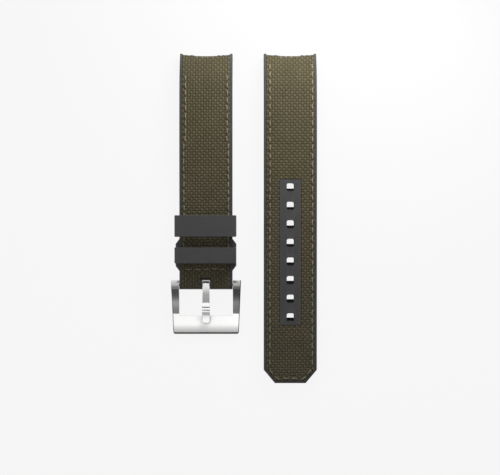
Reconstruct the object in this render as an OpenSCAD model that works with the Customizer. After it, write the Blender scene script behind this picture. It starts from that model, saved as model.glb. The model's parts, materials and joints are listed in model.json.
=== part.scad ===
// Two-piece watch strap: dark rubber with a woven textile face, a fixed and a free
// keeper, and a pin buckle on a sprung bar. Millimetres. X runs across the straps,
// Y along them with the watch ends at +Y, and Z up from the table that they lie on.

/* [Strap] */
// Width of both straps, which is the lug width of the watch
strap_w = 20; // [18:0.5:24]
// Thickness of the rubber at its rim
rim_t = 3.4; // [3.2:0.1:4.2]
// Width of the bare rubber rim beside the fabric
rim_w = 1; // [0.8:0.1:1.6]
// Depth of the recess that the fabric lies in
recess_d = 0.5; // [0.4:0.05:0.6]
// Height of the fabric above the rubber rim
fabric_rise = 0.2; // [0.05:0.05:0.4]
// Rounding of the strap's upper edges
edge_top_r = 0.5; // [0.3:0.1:0.9]
// Rounding of the strap's lower edges
edge_low_r = 0.8; // [0.4:0.1:1.2]
// Distance between the centre lines of the two straps as they lie
strap_pitch = 31.8; // [28:0.2:40]

/* [Bend at the watch end] */
// Length of the barely curved stretch before the bend
sweep_len = 31.3; // [20:0.1:45]
// How far the barely curved stretch turns down, in degrees
sweep_turn = 2.5; // [1:0.5:5]
// Radius of the bend, on the underside
bend_r = 30.4; // [24:0.2:45]
// Slope of the strap at its watch end, in degrees
end_slope = 29.2; // [22:0.2:38]
// Depth of the hollow curve of the watch end, which follows the case
end_hollow = 0.9; // [0.3:0.1:1.4]

/* [Lug bore] */
// Radius of the bore for the watch's spring bar
lug_bore_r = 1; // [0.8:0.05:1.1]
// Distance of the bore from the watch end's corners
lug_bore_in = 2.9; // [2.7:0.1:3.6]
// Height of the bore above the underside
lug_bore_up = 1.2; // [1:0.05:1.35]
// Radius of the rubber round the bore, below it
nose_r = 2.1; // [1.9:0.1:2.5]
// Length over which the nose runs out into the underside
nose_run = 8; // [6:0.5:12]

/* [Long strap] */
// Length of the flat stretch of the long strap, to its tip
long_len = 78.4; // [70:0.2:95]
// Length of the tip's slanted corners, along the strap
tip_len = 5; // [3:0.1:8]
// Width of the tip's slanted corners, across the strap
tip_in = 4.2; // [2:0.1:6]
// Width of the bare rubber island with the holes
island_w = 8; // [6.4:0.2:12]
// Height of the island above the rim
island_rise = 0.3; // [0.1:0.05:0.5]
// Distance of the first hole from the start of the flat stretch
first_hole = 4.5; // [3.6:0.1:8]
// Number of holes
hole_count = 8; // [5:1:9]
// Distance from hole to hole
hole_pitch = 7; // [6:0.1:7.4]
// Width of a hole
hole_w = 2.75; // [2.2:0.05:3.4]
// Length of a hole at the upper face
hole_len = 3.05; // [2.6:0.05:3.6]
// How far a hole's wall on the tip side leans in towards the underside
hole_lean = 1.1; // [0:0.1:1.3]
// Rounding of a hole's corners
hole_r = 0.7; // [0.4:0.05:0.9]
// Rubber between the end holes and the island's ends
island_end = 1.3; // [1:0.1:2.5]

/* [Short strap] */
// Length of the flat stretch of the short strap, to the bar's centre
bar_out = 41.4; // [38:0.2:50]
// Length of the fixed keeper's wings, at the strap's edge
wing_root_len = 12; // [10.6:0.1:13]
// Length of the fixed keeper's wings, at their outer faces
wing_tip_len = 8.2; // [7:0.1:9]
// Clearance between the tongue and the slot in the strap's end
slot_gap = 0.15; // [0.1:0.05:0.3]
// Bare rubber round the slot
slot_rim = 0.6; // [0.4:0.1:0.9]
// Bare rubber at the buckle end of the fabric
end_rim = 0.7; // [0.5:0.1:1]

/* [Keepers] */
// Thickness of the keepers' bands
keeper_t = 1.2; // [0.8:0.1:1.4]
// Room between the strap and a keeper's top band, for the other strap's tail
keeper_room = 4.7; // [4.5:0.1:6]
// Clearance between the free keeper and the strap, at the sides
keeper_gap = 0.25; // [0.15:0.05:0.4]
// Clearance between the free keeper and the strap, below
keeper_low_gap = 0.3; // [0.2:0.05:0.6]
// Rounding of the keepers' outer corners
keeper_r = 1.4; // [1.2:0.1:2]
// Rounding of the keepers' inner corners
keeper_inner_r = 0.7; // [0.5:0.1:0.9]
// Length of the free keeper along the strap
free_len = 8; // [6:0.1:9]
// Length of the fixed keeper along the strap
fixed_len = 5.9; // [4.5:0.1:6.5]
// Distance of the fixed keeper from the bar
fixed_in = 11.4; // [9.4:0.1:14]
// Distance between the two keepers' centres
keepers_apart = 10.9; // [10:0.1:14]

/* [Buckle] */
// Width of the buckle's arms at the bar
arm_w = 3; // [2.4:0.1:4]
// Clearance between an arm and the strap
arm_gap = 0.15; // [0.1:0.05:0.3]
// How much narrower each side is at the plate's outer edge
side_taper = 0.8; // [0:0.1:1]
// Radius of the arms' round ends
arm_r = 1.85; // [1.7:0.05:2.1]
// Distance from the bar to the plate's inner edge
plate_in = 11.7; // [11:0.1:15]
// Distance from the bar to the plate's outer edge
plate_out = 18.7; // [17.4:0.1:22]
// Distance from the bar to where the arms' tops run into the plate's
arm_fall_out = 11; // [9:0.1:11]
// Fall of the arms' tops from their round ends to the plate
arm_fall = 1.65; // [0.8:0.05:2]
// Thickness of the plate
plate_t = 2.3; // [1.8:0.1:2.6]
// Radius of the crown that lets the plate's top fall to its outer edge
plate_crown_r = 11; // [8:0.5:20]
// Length of the plate's crowned stretch
plate_crown_len = 4.2; // [3:0.1:5]
// Rounding of the plate's outer edges
plate_edge_r = 0.5; // [0.3:0.1:0.8]
// Rounding of the plate's outer corners, seen from above
plate_corner_r = 0.9; // [0.5:0.1:2]
// Rounding where the arms' inner faces meet the plate
plate_inner_r = 0.5; // [0.3:0.1:1]

/* [Tongue] */
// Width of the tongue at the bar
tongue_w = 2.6; // [2.2:0.1:3]
// Width of the tongue at its tip
tongue_tip_w = 3; // [2.4:0.1:3.6]
// Thickness of the tongue's curl round the bar
curl_t = 0.65; // [0.5:0.05:0.9]
// Thickness of the tongue's shank
shank_t = 1.2; // [1:0.05:1.5]
// Thickness of the pad at the tongue's tip
pad_t = 0.8; // [0.6:0.05:1]
// Distance from the bar to the start of the tongue's level top
level_from = 6.6; // [5:0.1:7]
// Distance from the bar to the end of the tongue's level top
level_to = 10.4; // [10:0.1:10.7]
// Distance from the bar to the start of the pad
pad_from = 11.5; // [11:0.1:12]
// Distance from the bar to the tongue's tip
tongue_out = 14.4; // [13.6:0.1:16]
// Rise of the tongue's top from the curl to its level stretch
tongue_rise = 0.3; // [0:0.05:0.5]
// Rounding of the tip's corners, seen from above
tongue_corner_r = 0.8; // [0.4:0.1:1]
// Clearance between the tongue's tip and the plate
pad_gap = 0.1; // [0.05:0.05:0.2]
// Depth of the two grooves across the tongue
groove_d = 0.2; // [0.1:0.05:0.3]
// Width of the two grooves across the tongue
groove_w = 0.4; // [0.2:0.05:0.6]
// Distance from the bar to the first groove
groove_from = 8.2; // [7.6:0.1:8.6]
// Distance between the two grooves
groove_apart = 1.1; // [0.8:0.1:1.5]

/* [Sprung bar] */
// Radius of the bar's tube
tube_r = 0.75; // [0.7:0.05:0.9]
// Wall of the bar's tube
tube_wall = 0.2; // [0.15:0.01:0.25]
// Running clearance round the tube, in the strap and in the tongue
bar_gap = 0.05; // [0.02:0.01:0.08]
// Radius of the plungers' tips
tip_r = 0.4; // [0.3:0.05:0.45]
// Running clearance round the plungers
tip_gap = 0.04; // [0.02:0.01:0.06]
// How far a plunger's tip reaches into the buckle's arm
tip_in_arm = 1; // [0.8:0.1:1.4]
// Length of a plunger's foot inside the tube
foot_len = 2; // [1.5:0.1:3]
// Length of the tube's drawn-in ends
mouth_len = 0.5; // [0.3:0.1:0.8]
// Gap between the tube's ends and the buckle's arms
tube_end_gap = 0.1; // [0.05:0.05:0.2]
// Radius of the spring's wire
wire_r = 0.09; // [0.06:0.01:0.11]
// Number of curls of the spring
curls = 16; // [10:1:20]

/* [Hidden] */

rubber = [0.25, 0.25, 0.26];
weave = [0.34, 0.31, 0.23];
steel = [0.78, 0.78, 0.78];

eps = 0.01;
far = 30;
over = 1;
face_fn = 48;
hollow_fn = 360;
edge_steps = 4;
curve_steps = 8;
sweep_steps = 12;
bend_steps = 32;

// Heights in a strap's own frame: its underside is z = 0, its flat stretch ends at y = 0
fabric_z = rim_t - recess_d;
bar_z = rim_t / 2;
fabric_top = rim_t + fabric_rise;
island_top = rim_t + island_rise;
fabric_w = strap_w - 2 * rim_w;

// The path of the underside: flat, a slight sweep, then the bend, as [y, z] points
function along(a) = [cos(a), -sin(a)];
function up(a) = [sin(a), cos(a)];
sweep_r = sweep_len / (sweep_turn * PI / 180);
sweep_centre = [0, -sweep_r];
bend_start = sweep_centre + sweep_r * up(sweep_turn);
bend_centre = bend_start - bend_r * up(sweep_turn);
end_point = bend_centre + bend_r * up(end_slope);
bore_point = end_point - lug_bore_in * along(end_slope) + lug_bore_up * up(end_slope);
hollow_r = (strap_w * strap_w / 4 + end_hollow * end_hollow) / (2 * end_hollow);
corner_point = end_point + (rim_t - edge_top_r) * up(end_slope);

// The slanted corners of the tip, as seen from above
tip_angle = atan2(tip_len, tip_in);
tip_reach = strap_w / 2 * sin(tip_angle) + (long_len - tip_len) * cos(tip_angle);

// Keepers: the free one passes the strap, and the fixed one fits round its wings
keeper_w = strap_w + 2 * keeper_gap + 2 * keeper_t;
keeper_top = fabric_top + keeper_room + keeper_t;
fixed_y = fixed_in - bar_out;
free_y = fixed_y + keepers_apart;
free_low = keeper_low_gap + keeper_t;

// The bar lies in the middle of the strap's round end, at bar_z
bar_bore_r = tube_r + bar_gap;
curl_r = bar_bore_r + curl_t;
slot_w = tongue_w + 2 * slot_gap;
slot_in = curl_r + 2 * slot_gap;

// The buckle's own frame has the bar's axis at its origin, and y points to the plate
frame_in = strap_w / 2 + arm_gap;
frame_out = frame_in + arm_w;
plate_top = arm_r - arm_fall;
plate_low = plate_top - plate_t;
plate_end = frame_out - side_taper;
crowned_share = 0.2;
fall_turn = 2 * atan(arm_fall / arm_fall_out);
fall_r_sum = arm_fall_out / sin(fall_turn);
fall_r_first = crowned_share * fall_r_sum;
fall_r_second = fall_r_sum - fall_r_first;

// Both straps lie on the table with the nose round the lug bore, and with the tip's
// lower edge or the free keeper's, and lean by the tilt that these two give
function rest_tilt(p, r) =
    asin((nose_r - r) / norm(bore_point - p)) - atan2(bore_point[1] - p[1], bore_point[0] - p[0]);
function turned(p, a) = [p[0] * cos(a) - p[1] * sin(a), p[0] * sin(a) + p[1] * cos(a)];
long_tilt = rest_tilt([edge_low_r - long_len, edge_low_r], edge_low_r);
short_tilt = rest_tilt([free_y - free_len / 2, -free_low], 0);
long_lift = nose_r - turned(bore_point, long_tilt)[1];
short_lift = nose_r - turned(bore_point, short_tilt)[1];

// The whole layout is centred on the origin
lug_line = (turned(corner_point, long_tilt)[0] - turned([-long_len, rim_t - edge_top_r], long_tilt)[0]) / 2;
long_y = lug_line - turned(corner_point, long_tilt)[0];
short_y = lug_line - turned(corner_point, short_tilt)[0];
long_x = (strap_pitch + frame_out - strap_w / 2) / 2;
short_x = long_x - strap_pitch;

// The bar's place on the table, and the turn that lays the buckle's plate down
bar_place = [short_y, short_lift] + turned([-bar_out, bar_z], short_tilt);
foot_point = [plate_out - plate_edge_r, plate_low + plate_edge_r];
buckle_turn = asin((bar_place[1] - plate_edge_r) / norm(foot_point)) + atan2(foot_point[1], foot_point[0]);

// The sprung bar lies along X: tube, plungers' feet and the spring between them
tube_half = frame_in - tube_end_gap;
tube_inner_r = tube_r - tube_wall;
foot_end = tube_half - mouth_len - tip_gap;
spring_half = foot_end - foot_len - wire_r - tip_gap;
spring_r = tube_inner_r - wire_r - tip_gap;
rings_per_curl = 8;
wire_sides = 6;
ring_count = curls * rings_per_curl;

// Points round an arc, from angle a to angle b
function arc(centre, r, a, b, steps) =
    [for (i = [0:steps]) let (t = a + (b - a) * i / steps) centre + r * [cos(t), sin(t)]];

// A rectangle on y = 0 with round lower and upper corners
module round_section(w, t, low_r, top_r) {
    low_x = w / 2 - low_r;
    top_x = w / 2 - top_r;
    polygon(concat(
        arc([low_x, low_r], low_r, -90, 0, edge_steps),
        arc([top_x, t - top_r], top_r, 0, 90, edge_steps),
        arc([-top_x, t - top_r], top_r, 90, 180, edge_steps),
        arc([-low_x, low_r], low_r, 180, 270, edge_steps)
    ));
}

// A cross-section, x across and y up, carried from y = 0 towards -Y
module run_flat(len) {
    rotate([90, 0, 0])
        linear_extrude(len)
            children();
}

// A cross-section carried round the arc from slope a to slope b
module run_arc(centre, r, a, b, steps) {
    translate([0, centre[0], centre[1]])
        rotate([-a, 0, 0])
            rotate([0, -90, 0])
                rotate_extrude(angle = b - a, $fn = ceil(steps * 360 / (b - a)))
                    translate([r, 0])
                        rotate(-90)
                            children();
}

// A cross-section carried over the sweep and the bend
module run_curves() {
    run_arc(sweep_centre, sweep_r, 0, sweep_turn, sweep_steps)
        children();
    run_arc(bend_centre, bend_r, sweep_turn, end_slope, bend_steps)
        children();
}

// Cores inside the rubber, which join the flat stretch to the sweep and that to the bend
module cores() {
    core = [strap_w / 2, over, rim_t / 2];
    translate([0, 0, bar_z])
        cube(core, center = true);
    translate([0, bend_start[0], bend_start[1]])
        rotate([-sweep_turn, 0, 0])
            translate([0, 0, bar_z])
                cube(core, center = true);
}

// A side view, x along and y up, drawn out across the strap
module across(w) {
    rotate([90, 0, 90])
        translate([0, 0, -w / 2])
            linear_extrude(w)
                children();
}

// The frame of the watch end: y along the strap and z square to it
module at_end() {
    translate([0, end_point[0], end_point[1]])
        rotate([-end_slope, 0, 0])
            children();
}

module rod(r, w, at) {
    translate([-w / 2, at[0], at[1]])
        rotate([0, 90, 0])
            cylinder(r = r, h = w, $fn = face_fn);
}

// The nose below the lug bore, with its run-out to the underside
module nose() {
    back = asin(nose_run / bend_r);
    root = [-bend_r * sin(back), -bend_r * (1 - cos(back))];
    centre = [-lug_bore_in, lug_bore_up];
    to_root = root - centre;
    touch = atan2(to_root[1], to_root[0]) + acos(nose_r / norm(to_root));
    at_end()
        across(strap_w - 2 * edge_top_r) {
            translate(centre)
                circle(nose_r, $fn = face_fn);
            polygon([root, centre + nose_r * [cos(touch), sin(touch)], centre, root + [0, lug_bore_up]]);
        }
}

// What is taken off the watch end: the hollow for the case, and the corner below the nose
module end_cuts() {
    at_end() {
        translate([0, hollow_r - end_hollow, -far / 2])
            cylinder(r = hollow_r, h = far, $fn = hollow_fn);
        across(strap_w + 2 * over)
            difference() {
                translate([-lug_bore_in, -far])
                    square([far, far + lug_bore_up]);
                translate([-lug_bore_in, lug_bore_up])
                    circle(nose_r, $fn = face_fn);
            }
        rod(lug_bore_r, strap_w + 2 * over, [-lug_bore_in, lug_bore_up]);
    }
}

// A slab whose one end, square to -Y at the given reach, is rounded like the strap's sides
module end_slab(reach) {
    slab_half = far + long_len;
    across(2 * slab_half)
        translate([slab_half - reach, 0])
            round_section(2 * slab_half, rim_t, edge_low_r, edge_top_r);
}

// The tip's outline from above, drawn in by the given rim, from y = start
function tip_outline(rim, start) =
    let (side = strap_w / 2 - rim)
    let (reach = tip_reach - rim)
    let (low = long_len - rim)
    let (side_y = (side * sin(tip_angle) - reach) / cos(tip_angle))
    let (low_x = (reach - low * cos(tip_angle)) / sin(tip_angle))
    [[side, start], [side, side_y], [low_x, -low], [-low_x, -low], [-side, side_y], [-side, start]];

module strap_section() {
    round_section(strap_w, rim_t, edge_low_r, edge_top_r);
}

// The bed for the fabric on the curved stretches
module curved_bed() {
    run_curves()
        translate([-fabric_w / 2, fabric_z])
            square([fabric_w, far / 2]);
}

// The fabric from the side: the given points at its flat end, then the sweep and the bend.
// Its underside's facets touch the bed's arcs from above
module fabric_side(end_points) {
    sweep_to = 90 - sweep_turn;
    bend_to = 90 - end_slope;
    sweep_low = (sweep_r + fabric_z) / cos(sweep_turn / sweep_steps / 2);
    bend_low = (bend_r + fabric_z) / cos((end_slope - sweep_turn) / bend_steps / 2);
    polygon(concat(
        end_points,
        arc(sweep_centre, sweep_r + fabric_top, 90, sweep_to, sweep_steps),
        arc(bend_centre, bend_r + fabric_top, sweep_to, bend_to, bend_steps),
        arc(bend_centre, bend_low, bend_to, sweep_to, bend_steps),
        arc(sweep_centre, sweep_low, sweep_to, 90, sweep_steps),
        [[0, fabric_z]]
    ));
}

// The island's outline from above
module island_outline() {
    island_len = hole_pitch * (hole_count - 1) + hole_len + 2 * island_end;
    translate([-island_w / 2, hole_len / 2 + island_end - first_hole - island_len])
        square([island_w, island_len]);
}

module hole_outline() {
    for (s = [-1, 1], e = [-1, 1])
        translate([s * (hole_w / 2 - hole_r), e * (hole_len / 2 - hole_r)])
            circle(hole_r, $fn = face_fn);
    square([hole_w, hole_len - 2 * hole_r], center = true);
    square([hole_w - 2 * hole_r, hole_len], center = true);
}

// A hole with its leaning wall on the tip side
module hole() {
    intersection() {
        translate([0, 0, -eps])
            linear_extrude(island_top + 2 * eps)
                hole_outline();
        across(hole_w + 2 * over)
            polygon([
                [far, -eps], [far, island_top + eps], [-hole_len / 2, island_top + eps],
                [hole_lean - hole_len / 2, -eps]
            ]);
    }
}

module long_strap_local() {
    difference() {
        union() {
            difference() {
                union() {
                    intersection() {
                        run_flat(long_len)
                            strap_section();
                        end_slab(long_len);
                        rotate([0, 0, tip_angle])
                            end_slab(tip_reach);
                        rotate([0, 0, -tip_angle])
                            end_slab(tip_reach);
                    }
                    run_curves()
                        strap_section();
                    cores();
                    nose();
                }
                translate([0, 0, fabric_z])
                    linear_extrude(far)
                        polygon(tip_outline(rim_w, eps));
                curved_bed();
            }
            translate([0, 0, fabric_z - eps])
                linear_extrude(island_top - fabric_z + eps)
                    island_outline();
        }
        end_cuts();
        for (i = [0:hole_count - 1])
            translate([0, -first_hole - i * hole_pitch, 0])
                hole();
    }
}

module wings() {
    intersection() {
        run_flat(bar_out)
            round_section(keeper_w, rim_t, edge_low_r, edge_top_r);
        linear_extrude(rim_t)
            translate([0, fixed_y])
                for (s = [-1, 1])
                    polygon([
                        [0, wing_root_len / 2], [s * strap_w / 2, wing_root_len / 2],
                        [s * keeper_w / 2, wing_tip_len / 2], [s * keeper_w / 2, -wing_tip_len / 2],
                        [s * strap_w / 2, -wing_root_len / 2], [0, -wing_root_len / 2]
                    ]);
    }
}

// A side view of the short strap's flat stretch, round about the bar
module round_end() {
    translate([-bar_out, bar_z])
        circle(bar_z, $fn = face_fn);
    translate([-bar_out, 0])
        square([bar_out + eps, rim_t]);
}

// The fabric's outline from y = start: it stops short of the strap's end and of the slot
module short_fabric_outline(start) {
    low = bar_z - bar_out - rim_t + end_rim;
    notch = slot_w / 2 + slot_rim;
    top = slot_in + slot_rim - bar_out;
    difference() {
        translate([-fabric_w / 2, low])
            square([fabric_w, start - low]);
        polygon([
            [notch, low - over], [notch, top - slot_rim], [notch - slot_rim, top],
            [slot_rim - notch, top], [-notch, top - slot_rim], [-notch, low - over]
        ]);
    }
}

// Everything round the fixed keeper that lies outside its inner outline
module fixed_keeper_seat() {
    translate([0, fixed_y + fixed_len / 2, 0])
        run_flat(fixed_len)
            difference() {
                translate([-keeper_w, -keeper_w])
                    square(2 * keeper_w);
                ring_inner(0);
            }
}

// The inner outline of a keeper whose lowest face is at the given height
module ring_inner(low) {
    inner_w = keeper_w - 2 * keeper_t;
    inner_h = keeper_top - low - 2 * keeper_t;
    translate([0, low + keeper_t])
        round_section(inner_w, inner_h, keeper_inner_r, keeper_inner_r);
}

module ring(len, low) {
    run_flat(len)
        difference() {
            translate([0, low])
                round_section(keeper_w, keeper_top - low, keeper_r, keeper_r);
            ring_inner(low);
        }
}

module short_strap_local() {
    difference() {
        union() {
            intersection() {
                run_flat(bar_out + bar_z)
                    strap_section();
                across(strap_w)
                    round_end();
            }
            wings();
            run_curves()
                strap_section();
            cores();
            nose();
        }
        translate([0, 0, fabric_z])
            linear_extrude(far)
                short_fabric_outline(eps);
        curved_bed();
        fixed_keeper_seat();
        end_cuts();
        rod(bar_bore_r, strap_w + 2 * over, [-bar_out, bar_z]);
        translate([-slot_w / 2, slot_in - bar_out - far, -over])
            cube([slot_w, far, rim_t + 2 * over]);
    }
}

module long_fabric_local() {
    difference() {
        intersection() {
            across(strap_w)
                fabric_side([[-long_len, fabric_z], [-long_len, fabric_top]]);
            translate([0, 0, -far])
                linear_extrude(2 * far)
                    polygon(tip_outline(rim_w, 2 * far));
        }
        translate([0, 0, fabric_z - over])
            linear_extrude(far)
                island_outline();
        end_cuts();
    }
}

module short_fabric_local() {
    end_r = bar_z + fabric_rise;
    from = 180 - asin((fabric_z - bar_z) / end_r);
    difference() {
        intersection() {
            across(strap_w)
                fabric_side(arc([-bar_out, bar_z], end_r, from, 90, curve_steps));
            translate([0, 0, -far])
                linear_extrude(2 * far)
                    short_fabric_outline(2 * far);
        }
        end_cuts();
    }
}

// Lays a strap's own frame on the table
module lay_long() {
    translate([long_x, long_y, long_lift])
        rotate([long_tilt, 0, 0])
            children();
}

module lay_short() {
    translate([short_x, short_y, short_lift])
        rotate([short_tilt, 0, 0])
            children();
}

// Puts the buckle's own frame on the bar, with its y towards the plate
module at_bar() {
    translate([short_x, bar_place[0], bar_place[1]])
        rotate([buckle_turn, 0, 0])
            rotate([0, 0, 180])
                children();
}

// The frame from the side. The arms' tops fall to the plate in two arcs, one crowned and
// one hollow, and the plate is level before its crown falls to the round outer edge
module frame_side() {
    crown_from = plate_out - plate_crown_len;
    edge_from = plate_out - plate_edge_r;
    crown_z = plate_top - plate_crown_r;
    inner_r = plate_crown_r - plate_edge_r;
    crown_turn = acos((edge_from - crown_from) / inner_r);
    edge_z = crown_z + inner_r * sin(crown_turn);
    polygon(concat(
        arc([0, 0], arm_r, 270, 90, 3 * curve_steps),
        arc([0, arm_r - fall_r_first], fall_r_first, 90, 90 - fall_turn, curve_steps),
        arc([arm_fall_out, plate_top + fall_r_second], fall_r_second, 270 - fall_turn, 270, curve_steps),
        arc([crown_from, crown_z], plate_crown_r, 90, crown_turn, curve_steps),
        arc([edge_from, edge_z], plate_edge_r, crown_turn, 0, curve_steps / 2),
        arc([edge_from, plate_low + plate_edge_r], plate_edge_r, 0, -90, curve_steps / 2),
        [[arm_fall_out, plate_low]]
    ));
}

// The frame from above: tapered sides and round outer corners
module frame_outline() {
    slant = norm([plate_out, side_taper]);
    back = arm_r + over;
    corner_y = plate_out - plate_corner_r;
    corner_x = frame_out - (plate_corner_r * slant + corner_y * side_taper) / plate_out;
    touch = [corner_x, corner_y] + plate_corner_r / slant * [plate_out, side_taper];
    wide = frame_out + side_taper * back / plate_out;
    for (s = [-1, 1])
        translate([s * corner_x, corner_y])
            circle(plate_corner_r, $fn = face_fn);
    polygon([
        [wide, -back], touch, [corner_x, corner_y], [corner_x, plate_out],
        [-corner_x, plate_out], [-corner_x, corner_y], [-touch[0], touch[1]], [-wide, -back]
    ]);
}

module frame_opening() {
    for (s = [-1, 1])
        translate([s * (frame_in - plate_inner_r), plate_in - plate_inner_r])
            circle(plate_inner_r, $fn = face_fn);
    translate([-frame_in, -far])
        square([2 * frame_in, far + plate_in - plate_inner_r]);
    translate([plate_inner_r - frame_in, 0])
        square([2 * (frame_in - plate_inner_r), plate_in]);
}

module frame_local() {
    difference() {
        intersection() {
            across(2 * far)
                frame_side();
            translate([0, 0, -far])
                linear_extrude(2 * far)
                    difference() {
                        frame_outline();
                        frame_opening();
                    }
        }
        rod(tip_r + tip_gap, 2 * (frame_in + tip_in_arm + tube_end_gap), [0, 0]);
    }
}

// The tongue curls round the bar, runs level, and steps down to the pad on the plate
module tongue_side() {
    level = curl_r + tongue_rise;
    pad_low = plate_top + pad_gap;
    pad_top = pad_low + pad_t;
    difference() {
        polygon(concat(
            arc([0, 0], curl_r, 360 + asin((curl_r - shank_t) / curl_r), 90, 3 * curve_steps),
            [
                [level_from, level], [level_to, level], [pad_from, pad_top],
                [tongue_out, pad_top], [tongue_out, pad_low], [pad_from, pad_low],
                [level_to, level - shank_t], [level_from, level - shank_t]
            ]
        ));
        for (i = [0, 1])
            translate([groove_from + i * groove_apart, level - groove_d])
                square([groove_w, far]);
    }
}

module tongue_outline() {
    side = tongue_tip_w / 2;
    low = tongue_out - tongue_corner_r;
    for (s = [-1, 1])
        translate([s * (side - tongue_corner_r), low])
            circle(tongue_corner_r, $fn = face_fn);
    polygon([
        [tongue_w / 2, -far], [tongue_w / 2, 0], [side, pad_from], [side, low],
        [side - tongue_corner_r, tongue_out], [tongue_corner_r - side, tongue_out],
        [-side, low], [-side, pad_from], [-tongue_w / 2, 0], [-tongue_w / 2, -far]
    ]);
}

module tongue_local() {
    difference() {
        intersection() {
            across(tongue_tip_w)
                tongue_side();
            translate([0, 0, -far])
                linear_extrude(2 * far)
                    tongue_outline();
        }
        rod(bar_bore_r, tongue_tip_w + 2 * over, [0, 0]);
    }
}

// A round stretch on the bar's axis, from x = a to x = b
module on_axis(r, a, b) {
    rotate([0, 90, 0])
        translate([0, 0, a])
            cylinder(r = r, h = b - a, $fn = face_fn);
}

module tube_local() {
    bore_half = tube_half - mouth_len;
    difference() {
        on_axis(tube_r, -tube_half, tube_half);
        on_axis(tube_inner_r, -bore_half, bore_half);
        on_axis(tip_r + tip_gap, -tube_half - over, tube_half + over);
    }
}

// The plunger of the +X side: its foot stays in the tube, and its tip enters the arm
module plunger_local() {
    on_axis(tube_inner_r - tip_gap, foot_end - foot_len, foot_end);
    on_axis(tip_r, foot_end - eps, frame_in + tip_in_arm);
}

// The spring's wire: rings of points along the helix, joined by triangles
function helix_point(t) =
    [(2 * t - 1) * spring_half, spring_r * cos(360 * curls * t), spring_r * sin(360 * curls * t)];
function helix_out(t) = [0, cos(360 * curls * t), sin(360 * curls * t)];
function helix_way(t) =
    let (turn = 2 * PI * curls * spring_r)
    let (way = [2 * spring_half, -turn * sin(360 * curls * t), turn * cos(360 * curls * t)])
    way / norm(way);

module spring_local() {
    points = [
        for (i = [0:ring_count], j = [0:wire_sides - 1])
            let (t = i / ring_count, a = 360 * j / wire_sides)
            let (side = cross(helix_way(t), helix_out(t)))
            helix_point(t) + wire_r * (cos(a) * helix_out(t) + sin(a) * side)
    ];
    walls = [
        for (i = [0:ring_count - 1], j = [0:wire_sides - 1])
            let (a = i * wire_sides + j, b = i * wire_sides + (j + 1) % wire_sides)
            each [[a, a + wire_sides, b], [b, a + wire_sides, b + wire_sides]]
    ];
    last = ring_count * wire_sides;
    ends = [
        for (j = [1:wire_sides - 2])
            each [[0, j, j + 1], [last, last + j + 1, last + j]]
    ];
    polyhedron(points, concat(walls, ends));
}

module long_strap_base() {
    color(rubber)
        lay_long()
            long_strap_local();
}

module long_strap_fabric() {
    color(weave)
        lay_long()
            long_fabric_local();
}

module short_strap_base() {
    color(rubber)
        lay_short()
            short_strap_local();
}

module short_strap_fabric() {
    color(weave)
        lay_short()
            short_fabric_local();
}

module fixed_keeper() {
    color(rubber)
        lay_short()
            translate([0, fixed_y + fixed_len / 2, 0])
                ring(fixed_len, 0);
}

module free_keeper() {
    color(rubber)
        lay_short()
            translate([0, free_y + free_len / 2, 0])
                ring(free_len, -free_low);
}

module buckle_frame() {
    color(steel)
        at_bar()
            frame_local();
}

module buckle_tongue() {
    color(steel)
        at_bar()
            tongue_local();
}

module bar_tube() {
    color(steel)
        at_bar()
            tube_local();
}

// The buckle's frame is turned about Z, so its own +X is the left side of the layout
module bar_plunger_left() {
    color(steel)
        at_bar()
            plunger_local();
}

module bar_plunger_right() {
    color(steel)
        at_bar()
            mirror([1, 0, 0])
                plunger_local();
}

module bar_spring() {
    color(steel)
        at_bar()
            spring_local();
}

long_strap_base();
long_strap_fabric();
short_strap_base();
short_strap_fabric();
fixed_keeper();
free_keeper();
buckle_frame();
buckle_tongue();
bar_tube();
bar_plunger_left();
bar_plunger_right();
bar_spring();
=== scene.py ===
# Dresses the watch strap set: woven textile faces with their stitching, moulded rubber,
# a brushed and polished pin buckle, and the pale studio around them. Blender's units are
# metres; the names ending in _MM are millimetres, which the helpers below convert.
import json
import math

import bmesh
import bpy
import numpy as np
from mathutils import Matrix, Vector


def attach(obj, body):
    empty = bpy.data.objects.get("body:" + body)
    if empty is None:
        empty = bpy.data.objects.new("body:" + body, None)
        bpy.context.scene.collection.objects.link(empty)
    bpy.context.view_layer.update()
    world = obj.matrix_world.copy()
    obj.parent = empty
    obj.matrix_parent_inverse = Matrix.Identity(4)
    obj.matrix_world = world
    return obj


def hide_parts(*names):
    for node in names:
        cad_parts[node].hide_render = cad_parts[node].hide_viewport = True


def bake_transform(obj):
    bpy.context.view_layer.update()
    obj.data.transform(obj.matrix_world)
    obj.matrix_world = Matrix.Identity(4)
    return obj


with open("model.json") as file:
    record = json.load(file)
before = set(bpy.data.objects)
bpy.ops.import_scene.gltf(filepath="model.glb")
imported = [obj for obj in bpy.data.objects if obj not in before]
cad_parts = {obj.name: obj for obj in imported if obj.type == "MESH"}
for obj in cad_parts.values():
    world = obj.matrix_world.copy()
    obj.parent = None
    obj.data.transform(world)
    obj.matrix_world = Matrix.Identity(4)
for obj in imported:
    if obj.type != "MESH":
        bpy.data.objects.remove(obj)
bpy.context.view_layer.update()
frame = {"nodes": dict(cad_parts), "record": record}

MM = 0.001
rng = np.random.default_rng(7)

# The straps' shape, as in the solids
STRAP_W_MM = 20.0
FABRIC_W_MM = 18.0
FABRIC_TOP_MM = 3.6
SWEEP_LEN_MM = 31.3
SWEEP_TURN = math.radians(2.5)
BEND_R_MM = 30.4
END_SLOPE = math.radians(29.2)
END_HOLLOW_MM = 0.9
BORE_IN_MM = 2.9
BORE_UP_MM = 1.2
NOSE_R_MM = 2.1

# The long strap's tip and island, on its flat stretch
LONG_LEN_MM = 78.4
TIP_LEN_MM = 5.0
TIP_IN_MM = 4.2
RIM_W_MM = 1.0
EDGE_LOW_R_MM = 0.8
ISLAND_HALF_MM = 4.0
ISLAND_LOW_MM = -56.325
ISLAND_HIGH_MM = -1.675

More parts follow.
